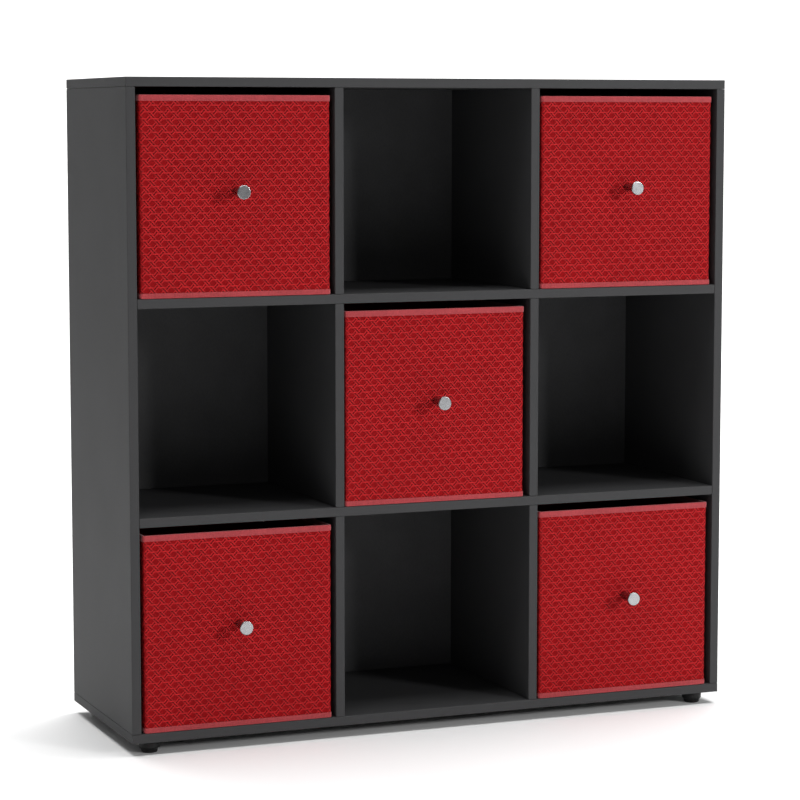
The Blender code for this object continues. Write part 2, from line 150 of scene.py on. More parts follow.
def worn_and_highlit_edges(finish, size):
    """1 in spots along bevelled edges, where a face's normal leans between two axes: wear and
    painted highlight.
    """
    normal = layer(finish, "NewGeometry", {}).outputs["True Normal"]
    part = layer(finish, "SeparateXYZ", {"Vector": normal}).outputs
    flat = [reckon(finish, "ABSOLUTE", part[i], 0.0) for i in range(3)]
    flattest = reckon(finish, "MAXIMUM", reckon(finish, "MAXIMUM", flat[0], flat[1]), flat[2])
    edge = spread(finish, flattest, 1.0, 0.0, 0.75, 0.98)
    spots = spread(finish, cloud(finish, place_on_piece(finish), size, 4.0), 0.0, 1.0, 0.45, 0.62)
    return reckon(finish, "MULTIPLY", edge, spots)


melamine, shader = new_finish("anthracite_melamine")
pearl = cloud(melamine, place_on_piece(melamine), PEARL_SIZE, 3.0, 0.6)
drift = cloud(melamine, place_on_piece(melamine), 0.12, 3.0)
depth_in = reckon(
    melamine,
    "SUBTRACT",
    layer(melamine, "SeparateXYZ", {"Vector": place_on_piece(melamine)}).outputs["Y"],
    FRONT_Y,
)
joint = reckon(
    melamine,
    "LESS_THAN",
    reckon(melamine, "ABSOLUTE", reckon(melamine, "SUBTRACT", depth_in, BAND_DEPTH), 0.0),
    GLUE_LINE / 2,
)
band = reckon(melamine, "LESS_THAN", depth_in, BAND_DEPTH)
face = tint(melamine, ANTHRACITE, spread(melamine, drift, 0.94, 1.06))
face = tint(melamine, face, spread(melamine, pearl, 0.9, 1.1))
band_face = tint(melamine, BAND_ANTHRACITE, spread(melamine, pearl, 0.97, 1.03))
face = blend_colours(melamine, band, face, band_face)
face = blend_colours(melamine, joint, face, GLUE_LINE_COLOUR)
# Wear and painted highlight: the bevelled edges are lightened in rubbed spots.
wear_and_highlight = reckon(melamine, "MULTIPLY", worn_and_highlit_edges(melamine, WORN_AND_HIGHLIT_SPOT_SIZE), WORN_AND_HIGHLIGHT_SHARE)
face = blend_colours(melamine, wear_and_highlight, face, WORN_AND_HIGHLIGHT_COLOUR)
set_shader(
    melamine,
    shader,
    Base_Color=face,
    Roughness=spread(melamine, pearl, 0.48, 0.62),
    IOR=1.5,
    Specular_IOR_Level=0.1,
)
raise_surface(melamine, shader, pearl, depth=0.00012, strength=0.5)


def finish_cad_nodes(names, finish):
    """Gives CAD pieces that keep their shape their finish."""
    for name in names:
        slots = cad_nodes[name].data.materials
        slots.clear()
        slots.append(finish)


def join_pieces(pieces):
    """Joins the pieces into the first of them."""
    bpy.ops.object.select_all(action="DESELECT")
    for piece in pieces:
        piece.select_set(True)
    bpy.context.view_layer.objects.active = pieces[0]
    bpy.ops.object.join()


finish_cad_nodes(BOARD_NODES, melamine)

# Glue fills the joints at both ends of each side panel, a little behind the edges, where they
# show as fine dark lines.
JOINT = 0.0003  # height of the joint
JOINT_SETBACK = 0.003  # from the edges to the glue
joint_heights = (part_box("top_panel")[0].z - JOINT / 2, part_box("bottom_panel")[1].z + JOINT / 2)
for name in ("side_panel_left", "side_panel_right"):
    low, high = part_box(name)
    panel = bpy.data.objects.new(name + "_glued", cad_nodes[name].data.copy())
    bpy.context.scene.collection.objects.link(panel)
    panel.matrix_world = cad_nodes[name].matrix_world
    for height in joint_heights:
        bpy.ops.object.select_all(action="DESELECT")
        bpy.ops.mesh.primitive_cube_add(
            size=1, location=((low.x + high.x) / 2, (low.y + high.y) / 2, height)
        )
        glue = bpy.context.object
        glue.scale = (high.x - low.x - 2 * JOINT_SETBACK, high.y - low.y - 2 * JOINT_SETBACK, JOINT)
        bpy.ops.object.transform_apply(location=True, rotation=True, scale=True)
        join_pieces([panel, glue])
    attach(panel, "carcass")
    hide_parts(name)

# ---- back strips ----
# Three sheets of 3 mm hardboard, painted dark on the smooth side and slid into grooves behind
# the rows. Pressed wood fibres show faintly through the paint.
BACK_PAINT = (0.054, 0.054, 0.056, 1)
FIBRE_SIZE = 0.0016
hardboard, shader = new_finish("painted_hardboard")
fibre = cloud(hardboard, place_on_piece(hardboard, (1, 1, 0.35)), FIBRE_SIZE, 5.0, 0.65)
patch = cloud(hardboard, place_on_piece(hardboard), 0.05, 2.0)
paint = tint(hardboard, BACK_PAINT, spread(hardboard, patch, 0.92, 1.08))
paint = tint(hardboard, paint, spread(hardboard, fibre, 0.82, 1.18))
set_shader(
    hardboard,
    shader,
    Base_Color=paint,
    Roughness=spread(hardboard, fibre, 0.55, 0.75),
    Specular_IOR_Level=0.3,
)
raise_surface(hardboard, shader, fibre, depth=0.00015, strength=0.6)
finish_cad_nodes(("back_strip_bottom", "back_strip_middle", "back_strip_top"), hardboard)

# ---- feet ----
# Four moulded black plastic feet. Each has a wide upper stage, a narrower lower one with a
# rounded sole, and a counterbore underneath for the screw that holds it to the bottom panel.
FOOT_NODES = ["foot_left_front", "foot_left_rear", "foot_right_front", "foot_right_rear"]
FOOT_OUTLINE = (
    # radius, height above the floor, from the counterbore round to the top of the hole
    (0.0025, 0.0090),
    (0.0053, 0.0090),
    (0.0055, 0.0088),
    (0.0055, 0.0004),
    (0.0059, 0.0000),
    (0.0113, 0.0000),
    (0.0120, 0.0002),
    (0.0125, 0.0007),
    (0.0129, 0.0015),
    (0.0132, 0.0030),
    (0.0138, 0.0055),
    (0.0140, 0.0061),
    (0.0146, 0.0066),
    (0.0160, 0.0077),
    (0.0164, 0.0082),
    (0.0165, 0.0088),
    (0.0165, 0.0189),
    (0.0163, 0.0195),
    (0.0158, 0.0197),
    (0.0025, 0.0197),
)
FOOT_SIDES = 64
FOOT_PARTING = 0.0125  # height of the line where the two halves of the mould met
FOOT_PARTING_WIDTH = 0.00024
FOOT_DUST_HEIGHT = 0.006  # dust clings to the foot below this height
FOOT_BLACK = (0.005, 0.005, 0.0053, 1)
FOOT_DUST = (0.05, 0.048, 0.045, 1)


def select_only(obj):
    """Makes the piece the only one selected, and the active one."""
    bpy.ops.object.select_all(action="DESELECT")
    obj.select_set(True)
    bpy.context.view_layer.objects.active = obj


def start_editing(obj):
    """Opens the piece's mesh with everything in it selected."""
    select_only(obj)
    bpy.ops.object.mode_set(mode="EDIT")
    bpy.ops.mesh.select_all(action="SELECT")


def settle(obj):
    """Puts the piece's place, turn and scale into its mesh."""
    select_only(obj)
    bpy.ops.object.transform_apply(location=True, rotation=True, scale=True)


def copy_piece(model, name):
    """A copy of the piece with its own mesh."""
    piece = model.copy()
    piece.data = model.data.copy()
    piece.name = name
    bpy.context.scene.collection.objects.link(piece)
    return piece


def turn_on_lathe(name, profile, sides, hollow):
    """A round piece about an upright axis through the origin, drawn up ring by ring.
    A hollow profile closes on itself, and any other is capped at both ends."""
    bpy.ops.object.select_all(action="DESELECT")
    first_radius, first_height = profile[0]
    bpy.ops.mesh.primitive_circle_add(
        vertices=sides, radius=first_radius, location=(0, 0, first_height)
    )
    piece = bpy.context.object
    piece.name = name
    settle(piece)
    start_editing(piece)
    if not hollow:
        bpy.ops.mesh.edge_face_add()
    radius, height = first_radius, first_height
    for next_radius, next_height in profile[1:]:
        rise = (0, 0, next_height - height)
        bpy.ops.mesh.extrude_region_move(TRANSFORM_OT_translate={"value": rise})
        grow = next_radius / radius
        bpy.ops.transform.resize(value=(grow, grow, 1), center_override=(0, 0, next_height))
        radius, height = next_radius, next_height
    if hollow:
        bpy.ops.mesh.select_all(action="DESELECT")
        bpy.ops.mesh.select_mode(type="EDGE")
        bpy.ops.mesh.select_non_manifold()
        bpy.ops.mesh.bridge_edge_loops()
    bpy.ops.mesh.select_all(action="SELECT")
    bpy.ops.mesh.normals_make_consistent(inside=False)
    bpy.ops.object.mode_set(mode="OBJECT")
    bpy.ops.object.shade_smooth_by_angle(angle=math.radians(40))
    return piece


def take_finish(piece, finish, body, stands_for):
    """Gives a finished piece its material, its body and the CAD node that it stands for."""
    piece.data.materials.clear()
    piece.data.materials.append(finish)
    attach(piece, body)
    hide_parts(stands_for)


foot_plastic, shader = new_finish("moulded_black_plastic")
spark = cloud(foot_plastic, place_on_piece(foot_plastic), 0.0006, 3.0, 0.7)
scuff = cloud(foot_plastic, place_on_piece(foot_plastic, (1, 1, 3)), 0.006, 4.0, 0.7)
foot_part = layer(foot_plastic, "SeparateXYZ", {"Vector": place_on_piece(foot_plastic)}).outputs
height_up = foot_part["Z"]
dusty = reckon(
    foot_plastic,
    "MULTIPLY",
    spread(foot_plastic, height_up, 1.0, 0.0, 0.0, FOOT_DUST_HEIGHT),
    spread(foot_plastic, scuff, 0.0, 1.0, 0.45, 0.65),
)
above_parting = reckon(foot_plastic, "SUBTRACT", height_up, FOOT_PARTING)
from_parting = reckon(foot_plastic, "ABSOLUTE", above_parting, 0.0)
parting = reckon(foot_plastic, "LESS_THAN", from_parting, FOOT_PARTING_WIDTH / 2)
black = tint(foot_plastic, FOOT_BLACK, spread(foot_plastic, scuff, 0.8, 1.2))
half_dusty = reckon(foot_plastic, "MULTIPLY", dusty, 0.5)
black = blend_colours(foot_plastic, half_dusty, black, FOOT_DUST)
set_shader(
    foot_plastic,
    shader,
    Base_Color=black,
    Roughness=spread(foot_plastic, scuff, 0.38, 0.6),
    Specular_IOR_Level=0.25,
)
relief = reckon(foot_plastic, "ADD", spark, parting)
raise_surface(foot_plastic, shader, relief, depth=0.00008, strength=0.6)

foot_model = turn_on_lathe("foot_model", FOOT_OUTLINE, FOOT_SIDES, hollow=True)
for name in FOOT_NODES:
    low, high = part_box(name)
    foot = copy_piece(foot_model, name + "_moulded")
    foot.data.transform(Matrix.Translation(((low.x + high.x) / 2, (low.y + high.y) / 2, 0)))
    take_finish(foot, foot_plastic, "carcass", name)
bpy.data.objects.remove(foot_model)

# ---- screws ----
# Bright zinc-plated steel: a screw up through each foot, and countersunk ones up into the side
# panels. Their heads show faint turning marks and a little tarnish.
ZINC = (0.62, 0.61, 0.58, 1)
TARNISHED_ZINC = (0.42, 0.41, 0.38, 1)
zinc, shader = new_finish("bright_zinc_plate")
tarnish = cloud(zinc, place_on_piece(zinc), 0.003, 4.0, 0.6)
turning = cloud(zinc, place_on_piece(zinc, (1, 1, 8)), 0.0008, 2.0)
set_shader(
    zinc,
    shader,
    Base_Color=blend_colours(zinc, spread(zinc, tarnish, 0.0, 1.0), ZINC, TARNISHED_ZINC),
    Metallic=1.0,
    Roughness=spread(zinc, turning, 0.22, 0.42),
)
raise_surface(zinc, shader, turning, depth=0.00004, strength=0.5)
screw_nodes = [name for name in cad_nodes if name.startswith(("foot_screw", "panel_screw"))]
finish_cad_nodes(screw_nodes, zinc)

# ---- box cores ----
# Each box is folded from stiff card covered in dark red cloth. The cloth shows inside, and as
# dim ground through the open weave outside. The upright corners are softly rounded.
BOX_NAMES = ["box_centre", "box_top_left", "box_top_right", "box_bottom_left", "box_bottom_right"]
CORNER = 0.004  # outer radius of the upright corners
CORNER_STEPS = 8
WALL = 0.0026
RIM_DROP = 0.0003  # the core ends this far under the shell's upper edge
GROUND_DROP = 0.0005  # the cloth ground lies this far under the shell's outer face
GROUND_RED = (0.27, 0.004, 0.006, 1)
CLOTH_THREAD = 0.0011  # from one thread to the next
shell_low, shell_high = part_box("box_centre_shell")
SHELL_MIDDLE = (shell_low + shell_high) / 2
SHELL_SIZE = shell_high - shell_low


def draw_outline(name, lift, height):
    """A rounded rectangle round the box, lifted off the shell's outer face, at a height."""
    bpy.ops.object.select_all(action="DESELECT")
    bpy.ops.mesh.primitive_plane_add(size=1, location=(SHELL_MIDDLE.x, SHELL_MIDDLE.y, height))
    outline = bpy.context.object
    outline.name = name
    outline.scale = (SHELL_SIZE.x + 2 * lift, SHELL_SIZE.y + 2 * lift, 1)
    settle(outline)
    start_editing(outline)
    bpy.ops.mesh.select_mode(type="VERT")
    bpy.ops.mesh.bevel(offset=CORNER + lift, segments=CORNER_STEPS, affect="VERTICES")
    bpy.ops.object.mode_set(mode="OBJECT")
    return outline


def put_in_boxes(model, part, finish, stands_for):
    """Copies a piece made on the centre box into all five, each with its own mesh."""
    made = []
    for name in BOX_NAMES:
        piece = copy_piece(model, f"{name}_{part}")
        piece.data.transform(Matrix.Translation(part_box(name + "_shell")[0] - shell_low))
        take_finish(piece, finish, name, f"{name}_{stands_for}")
        made.append(piece)
    bpy.data.objects.remove(model)
    return made


def woven_cloth(name, colour, thread, sheen):
    """Plain fine cloth: two sets of threads at right angles, seen as ribs in both directions."""
    cloth, shader = new_finish(name)
    where = place_on_piece(cloth)
    part = layer(cloth, "SeparateXYZ", {"Vector": where}).outputs
    across = reckon(cloth, "ADD", part["X"], part["Y"])
    ribs = []
    for run in (across, part["Z"]):
        turns = reckon(cloth, "MULTIPLY", run, 2 * math.pi / thread)
        ribs.append(reckon(cloth, "SINE", turns, 0.0))
    weave = spread(cloth, reckon(cloth, "MULTIPLY", ribs[0], ribs[1]), 0.0, 1.0, -1.0, 1.0)
    slub = cloud(cloth, place_on_piece(cloth, (1, 1, 0.25)), 0.002, 4.0, 0.6)
    fade = cloud(cloth, where, 0.06, 2.0)
    shade = tint(cloth, colour, spread(cloth, weave, 0.82, 1.12, 0.0, 1.0))
    shade = tint(cloth, shade, spread(cloth, slub, 0.85, 1.15))
    shade = tint(cloth, shade, spread(cloth, fade, 0.94, 1.06))
    set_shader(
        cloth,
        shader,
        Base_Color=shade,
        Roughness=spread(cloth, slub, 0.8, 0.95),
        Specular_IOR_Level=0.1,
        Sheen_Weight=sheen,
        Sheen_Roughness=0.5,
    )
    relief = reckon(cloth, "ADD", weave, slub)
    raise_surface(cloth, shader, relief, depth=0.0002, strength=0.6)
    return cloth


ground_cloth = woven_cloth("dark_red_cloth", GROUND_RED, CLOTH_THREAD, 0.0)
core = draw_outline("core_model", -GROUND_DROP, shell_low.z)
start_editing(core)
core_height = SHELL_SIZE.z - RIM_DROP
bpy.ops.mesh.select_mode(type="FACE")
bpy.ops.mesh.extrude_region_move(TRANSFORM_OT_translate={"value": (0, 0, core_height)})
bpy.ops.mesh.inset(thickness=WALL - GROUND_DROP, depth=0)
bpy.ops.mesh.extrude_region_move(TRANSFORM_OT_translate={"value": (0, 0, WALL - core_height)})
bpy.ops.mesh.select_all(action="SELECT")
bpy.ops.mesh.normals_make_consistent(inside=False)
bpy.ops.object.mode_set(mode="OBJECT")
bpy.ops.object.shade_smooth_by_angle(angle=math.radians(40))
put_in_boxes(core, "core", ground_cloth, "shell")

# ---- woven skin ----
# Cane-pattern weave of flat red strands over the core: one level strand at each row, and a pair
# of strands on each diagonal. Every strand goes over one neighbour and under the next. It is
# woven in two sheets that wrap the box and meet halfway along its sides.
ROW = 0.0105  # from one level strand to the next
REPEATS = 32  # repeats along the pattern in each of the two sheets
STRAND_WIDTH = 0.0028
LEVEL_WIDTH = 0.0026
SLIT = 0.00080  # between the two strands of a pair
STRAND_TOP = 0.00050  # from a strand's edge up to its crown
CROWN_SHARE = 0.42  # the crown's share of the strand's width
WAVE = 0.00030  # how far a strand rises and dips
MID_LIFT = -0.00008  # height of a strand's edge from the shell's outer face
STEPS = 4  # facets in one wave of a strand
WELD = 0.00002  # ends closer than this are welded
BEND_EASE = 0.005  # the strands lie flatter within this distance of an upright corner
BEND_SHARE = 0.25  # what is left of their waves at the corner
TUCK = 0.0016  # how far the weave runs on under the bindings
HEM_START = TUCK * 0.4  # from the sheet's edge to where the strands start to rise
HEM_RISE = TUCK * 1.4  # the length in which they come up to their full height
HEM_LIFT = -0.0004  # height that the strands sink towards at the sheet's edge
HEM_SHARE = 0.25  # what is left of their height above that at the edge
STRAND_RED = (0.46, 0.009, 0.012, 1)
WEAVE_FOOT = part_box("box_centre_low_binding")[1].z - TUCK
WEAVE_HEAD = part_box("box_centre_top_binding")[0].z + TUCK

side_x = SHELL_SIZE.x - 2 * CORNER
side_y = SHELL_SIZE.y - 2 * CORNER
bend = math.pi / 2 * CORNER
sheet_length = side_x + side_y + 2 * bend
REPEAT = sheet_length / REPEATS


def strand_run(name, width, length, high_in_middle):
    """One wave of a strand along X: a flat strip with narrowed shoulders, open at its ends.
    Its map holds waves along from a crest, and half-widths across from the middle."""
    bpy.ops.object.select_all(action="DESELECT")
    bpy.ops.mesh.primitive_cube_add(size=1, location=(0, 0, 0))
    strand = bpy.context.object
    strand.name = name
    strand.scale = (length, width, STRAND_TOP)
    settle(strand)
    start_editing(strand)
    bpy.ops.mesh.select_mode(type="FACE")
    bpy.ops.mesh.select_all(action="DESELECT")
    bpy.ops.object.mode_set(mode="OBJECT")
    for polygon in strand.data.polygons:
        polygon.select = abs(polygon.normal.x) > 0.5
    bpy.ops.object.mode_set(mode="EDIT")
    bpy.ops.mesh.delete(type="ONLY_FACE")
    bpy.ops.mesh.select_mode(type="EDGE")
    bpy.ops.object.mode_set(mode="OBJECT")
    for edge in strand.data.edges:
        ends = [strand.data.vertices[i].co for i in edge.vertices]
        edge.select = abs(ends[0].x - ends[1].x) > length / 2
    bpy.ops.object.mode_set(mode="EDIT")
    bpy.ops.mesh.subdivide(number_cuts=STEPS - 1)
    bpy.ops.object.mode_set(mode="OBJECT")
    for vertex in strand.data.vertices:
        top = vertex.co.z > 0
        vertex.co.z = STRAND_TOP if top else 0.0
        if top:
            vertex.co.y *= CROWN_SHARE
        swing = math.cos(2 * math.pi * vertex.co.x / length)
        vertex.co.z += WAVE * (swing if high_in_middle else -swing)
    uv = strand.data.uv_layers["UVMap"]
    first_wave = 0.0 if high_in_middle else 0.5
    for corner in strand.data.loops:
        spot = strand.data.vertices[corner.vertex_index].co
        uv.data[corner.index].uv = (spot.x / length + first_wave, spot.y / (width / 2))
    return strand


def repeat_along(obj, count, step):
    """Repeats the piece along a step, and welds the joints between the copies."""
    rows = obj.modifiers.new("repeat", "ARRAY")
    rows.count = count
    rows.use_relative_offset = False
    rows.use_constant_offset = True
    rows.constant_offset_displace = step
    rows.use_merge_vertices = True
    rows.merge_threshold = WELD
    select_only(obj)
    bpy.ops.object.modifier_apply(modifier=rows.name)


def trim(obj, point, outward):
    """Cuts away what lies beyond a plane, and closes the cut."""
    start_editing(obj)
    bpy.ops.mesh.bisect(plane_co=point, plane_no=outward, use_fill=True, clear_outer=True)
    bpy.ops.object.mode_set(mode="OBJECT")


weave_height = WEAVE_HEAD - WEAVE_FOOT
slope = math.atan2(ROW, REPEAT / 2)
wave_length = math.hypot(ROW, REPEAT / 2)
waves_up = 2 * math.ceil(weave_height / ROW / 2) + 1
lean = waves_up * REPEAT / 2
families = []
for name, turn, over_at_cross in (("falling", -slope, True), ("rising", slope, False)):
    pair = strand_run(name, STRAND_WIDTH, wave_length, over_at_cross)
    start_editing(pair)
    bpy.ops.transform.translate(value=(0, (STRAND_WIDTH + SLIT) / 2, 0))
    bpy.ops.mesh.duplicate()
    bpy.ops.transform.mirror(constraint_axis=(False, True, False), center_override=(0, 0, 0))
    bpy.ops.object.mode_set(mode="OBJECT")
    repeat_along(pair, waves_up, (wave_length, 0, 0))
    pair.rotation_euler = (0, 0, turn)
    settle(pair)
    if turn < 0:
        pair.data.transform(Matrix.Translation((0, (waves_up - 1) * ROW, 0)))
    pair.data.transform(Matrix.Translation((-lean, -ROW / 2, 0)))
    repeat_along(pair, REPEATS + waves_up // 2 + 2, (REPEAT, 0, 0))
    families.append(pair)

level = strand_run("level", LEVEL_WIDTH, REPEAT, True)
for corner in level.data.uv_layers[0].data:
    corner.uv.y = abs(corner.uv.y)
repeat_along(level, REPEATS + 2, (REPEAT, 0, 0))
level.data.transform(Matrix.Translation((-REPEAT * 0.75, 0, 0)))
upper = copy_piece(level, "upper")
upper.data.transform(Matrix.Translation((REPEAT / 2, ROW, 0)))
join_pieces([level, upper])
repeat_along(level, math.ceil(weave_height / (2 * ROW)) + 1, (0, 2 * ROW, 0))
level.data.transform(Matrix.Translation((0, -2 * ROW, 0)))
families.append(level)

for family in families:
    trim(family, (0, 0, 0), (-1, 0, 0))
    trim(family, (sheet_length, 0, 0), (1, 0, 0))
    trim(family, (0, 0, 0), (0, -1, 0))
    trim(family, (0, weave_height, 0), (0, 1, 0))

join_pieces(families)
flat_weave = families[0]
flat_weave.name = "flat_weave"


def wrap_round_box(along, lift):
    """Where a point of the flat sheet goes: along the outline from the middle of the right side,
    forward round the front to the middle of the left side."""
    out = CORNER + lift
    half_x, half_y = side_x / 2, side_y / 2
    if along < side_y / 2:
        return Vector((half_x + out, -along))
    along -= side_y / 2
    if along < bend:
        angle = -along / CORNER
        return Vector((half_x + out * math.cos(angle), -half_y + out * math.sin(angle)))
    along -= bend
    if along < side_x:
        return Vector((half_x - along, -half_y - out))
    along -= side_x
    if along < bend:
        angle = -math.pi / 2 - along / CORNER
        return Vector((-half_x + out * math.cos(angle), -half_y + out * math.sin(angle)))
    along -= bend
    return Vector((-half_x - out, -half_y + along))


bends = (side_y / 2 + bend / 2, side_y / 2 + bend * 1.5 + side_x)
for vertex in flat_weave.data.vertices:
    along, up, lift = vertex.co
    from_bend = min(abs(along - middle) for middle in bends) - bend / 2
    flatness = min(1.0, max(0.0, from_bend / BEND_EASE))
    lift *= BEND_SHARE + (1 - BEND_SHARE) * flatness
    from_hem = min(up, weave_height - up)
    risen = min(1.0, max(0.0, (from_hem - HEM_START) / HEM_RISE))
    height = MID_LIFT + lift
    height = HEM_LIFT + (height - HEM_LIFT) * (HEM_SHARE + (1 - HEM_SHARE) * risen)
    spot = wrap_round_box(sheet_length - along, height)
    vertex.co = (SHELL_MIDDLE.x + spot.x, SHELL_MIDDLE.y + spot.y, WEAVE_FOOT + up)
flat_weave.data.update()
start_editing(flat_weave)
bpy.ops.mesh.normals_make_consistent(inside=False)
bpy.ops.object.mode_set(mode="OBJECT")
bpy.ops.object.shade_smooth_by_angle(angle=math.radians(75))

strand_red, shader = new_finish("red_strand")
strand_uv = layer(strand_red, "UVMap", {}, uv_map="UVMap").outputs["UV"]
strand_part = layer(strand_red, "SeparateXYZ", {"Vector": strand_uv}).outputs
fibre_map = layer(strand_red, "Mapping", {"Vector": strand_uv, "Scale": (0.9, 6, 1)})
fibre_place = fibre_map.outputs["Vector"]
fibres = cloud(strand_red, fibre_place, 1.0, 3.0)
mottle = cloud(strand_red, place_on_piece(strand_red), 0.004, 4.0, 0.6)
fade = cloud(strand_red, place_on_piece(strand_red), 0.07, 2.0)
# Painted shade: each strand darkens towards its edges, darkest on its slit side, for the shade in
# the slits and on its shoulders.
slit_painted_shade = spread(strand_red, strand_part["Y"], 0.06, 1.0, -0.95, -0.15)
edge_painted_shade = spread(strand_red, strand_part["Y"], 1.0, 0.5, 0.4, 1.0)
# Painted shade: each strand is darker where it dives under its neighbour, for the shade there.
wave_turn = reckon(strand_red, "MULTIPLY", strand_part["X"], 2 * math.pi)
dive_painted_shade_wave = reckon(strand_red, "COSINE", wave_turn, 0.0)
red = tint(strand_red, STRAND_RED, reckon(strand_red, "MULTIPLY", slit_painted_shade, edge_painted_shade))
red = tint(strand_red, red, spread(strand_red, dive_painted_shade_wave, 0.72, 1.1, -0.8, 0.9))
red = tint(strand_red, red, spread(strand_red, fibres, 0.88, 1.1))
red = tint(strand_red, red, spread(strand_red, mottle, 0.86, 1.14))
red = tint(strand_red, red, spread(strand_red, fade, 0.95, 1.05))
set_shader(
    strand_red,
    shader,
    Base_Color=red,
    Roughness=spread(strand_red, fibres, 0.5, 0.7),
    Specular_IOR_Level=0.12,
)
raise_surface(strand_red, shader, fibres, depth=0.00012, strength=0.6)

back_weave = copy_piece(flat_weave, "back_weave")
half_turn = (
    Matrix.Translation(SHELL_MIDDLE)
    @ Matrix.Rotation(math.pi, 4, "Z")
    @ Matrix.Translation(-SHELL_MIDDLE)
)
back_weave.data.transform(half_turn)
put_in_boxes(flat_weave, "weave_front", strand_red, "shell")
put_in_boxes(back_weave, "weave_back", strand_red, "shell")

# ---- bindings ----
# Woven tape, lighter than the strands. The upper one is folded over the rim of the box and
# sewn down outside and in, and the lower one runs round the foot of the walls.
TAPE = 0.0007  # thickness of the tape
TAPE_LIFT = 0.0003  # from the shell to the tape
TAPE_THREAD = 0.0008
TAPE_SHEEN = 0.25
TAPE_RED = (0.38, 0.050, 0.057, 1)
tape_cloth = woven_cloth("light_red_tape", TAPE_RED, TAPE_THREAD, TAPE_SHEEN)


def round_tape(name, section):
    """A tape round the box's outline, with a closed section of (lift, height) points. Two points
    in a row never have the same height, because level rings are bridged with a twist."""
    rings = [draw_outline(f"{name}_{i}", lift, height) for i, (lift, height) in enumerate(section)]
    for place, ring in enumerate(rings):
        start_editing(ring)
        bpy.ops.mesh.delete(type="ONLY_FACE")
        bpy.ops.object.mode_set(mode="OBJECT")
        mark = ring.data.attributes.new("ring", "INT", "POINT")
        mark.data.foreach_set("value", [place] * len(ring.data.vertices))
    join_pieces(rings)
    tape = rings[0]
    tape.name = name
    start_editing(tape)
    bpy.ops.mesh.select_mode(type="EDGE")
    for i in range(len(section)):
        bpy.ops.mesh.select_all(action="DESELECT")
        bpy.ops.object.mode_set(mode="OBJECT")
        pair = (i, (i + 1) % len(section))
        mark = tape.data.attributes["ring"].data
        for edge in tape.data.edges:
            first, second = (mark[v].value for v in edge.vertices)
            edge.select = first == second and first in pair
        bpy.ops.object.mode_set(mode="EDIT")
        bpy.ops.mesh.bridge_edge_loops()
    bpy.ops.mesh.select_all(action="SELECT")
    bpy.ops.mesh.normals_make_consistent(inside=False)
    bpy.ops.object.mode_set(mode="OBJECT")
    bpy.ops.object.shade_smooth_by_angle(angle=math.radians(50))
    return tape


top_low, top_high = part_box("box_centre_top_binding")
outer = TAPE + TAPE_LIFT
inner = -WALL - TAPE - TAPE_LIFT
rim = top_high.z
hem = top_low.z
TOP_SECTION = (
    (TAPE_LIFT - 0.0004, hem + 0.0002),
    (TAPE_LIFT + 0.0002, hem),
    (outer - 0.0002, hem + 0.0001),
    (outer, hem + 0.0004),
    (outer - 0.0001, hem + 0.0018),
    (outer, hem + 0.0040),
    (outer, rim - 0.0014),
    (outer - 0.0003, rim - 0.0005),
    (outer - 0.0010, rim - 0.0001),
    ((outer + inner) / 2, rim),
    (inner + 0.0010, rim - 0.0001),
    (inner + 0.0003, rim - 0.0005),
    (inner, rim - 0.0014),
    (inner, hem + 0.0004),
    (inner + 0.0002, hem),
    (inner + TAPE, hem + 0.0001),
    (inner + TAPE, rim - TAPE - 0.0006),
    (TAPE_LIFT - 0.0002, rim - TAPE - 0.0007),
)
top_tape = round_tape("top_tape", TOP_SECTION)
for tape in put_in_boxes(top_tape, "rim_tape", tape_cloth, "top_binding"):
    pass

low_low, low_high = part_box("box_centre_low_binding")
LOW_SECTION = (
    (TAPE_LIFT - 0.0004, low_low.z + 0.0001),
    (outer - 0.0003, low_low.z),
    (outer, low_low.z + 0.0004),
    (outer, low_high.z - 0.0020),
    (outer - 0.0001, low_high.z - 0.0010),
    (outer - 0.0001, low_high.z - 0.0003),
    (outer - 0.0003, low_high.z),
    (TAPE_LIFT - 0.0004, low_high.z - 0.0001),
)
low_tape = round_tape("low_tape", LOW_SECTION)
put_in_boxes(low_tape, "foot_tape", tape_cloth, "low_binding")

# ---- base inserts ----
# A loose card board covered in the same cloth, which drops in and keeps the floor flat. Its red is
# darker than the walls' as painted shade on the box's floor. Its covered edges are soft, and its
# middle is very slightly crowned.
INSERT_CELLS = 24
INSERT_FILL = 0.8  # the share of its room's height that the board takes up
INSERT_EDGE = 0.0006
INSERT_CROWN = 0.0004
# Painted shade: half the ground cloth's red, for the shade inside the box.
INSERT_SHADED_RED = (0.14, 0.004, 0.005, 1)
insert_low, insert_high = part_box("box_centre_base_insert")
insert_size = insert_high - insert_low
middle = (insert_low + insert_high) / 2
insert_cloth = woven_cloth("shaded_dark_red_board_cover", INSERT_SHADED_RED, CLOTH_THREAD, 0.0)
bpy.ops.object.select_all(action="DESELECT")
bpy.ops.mesh.primitive_grid_add(
    x_subdivisions=INSERT_CELLS, y_subdivisions=INSERT_CELLS, size=1, location=middle
)
insert = bpy.context.object
insert.name = "insert_model"
insert.scale = (insert_size.x, insert_size.y, 1)
settle(insert)
thickness = insert.modifiers.new("thickness", "SOLIDIFY")
thickness.thickness = insert_size.z * INSERT_FILL
thickness.offset = 0
soft_edge = insert.modifiers.new("soft_edge", "BEVEL")
soft_edge.width = INSERT_EDGE
soft_edge.segments = 3
bpy.ops.object.modifier_apply(modifier=thickness.name)
bpy.ops.object.modifier_apply(modifier=soft_edge.name)
for vertex in insert.data.vertices:
    if vertex.co.z > middle.z:
        share_x = (vertex.co.x - middle.x) / insert_size.x * 2
        share_y = (vertex.co.y - middle.y) / insert_size.y * 2
        vertex.co.z += INSERT_CROWN * (1 - share_x**2) * (1 - share_y**2)
bpy.ops.object.shade_smooth_by_angle(angle=math.radians(50))
put_in_boxes(insert, "floor_board", insert_cloth, "base_insert")

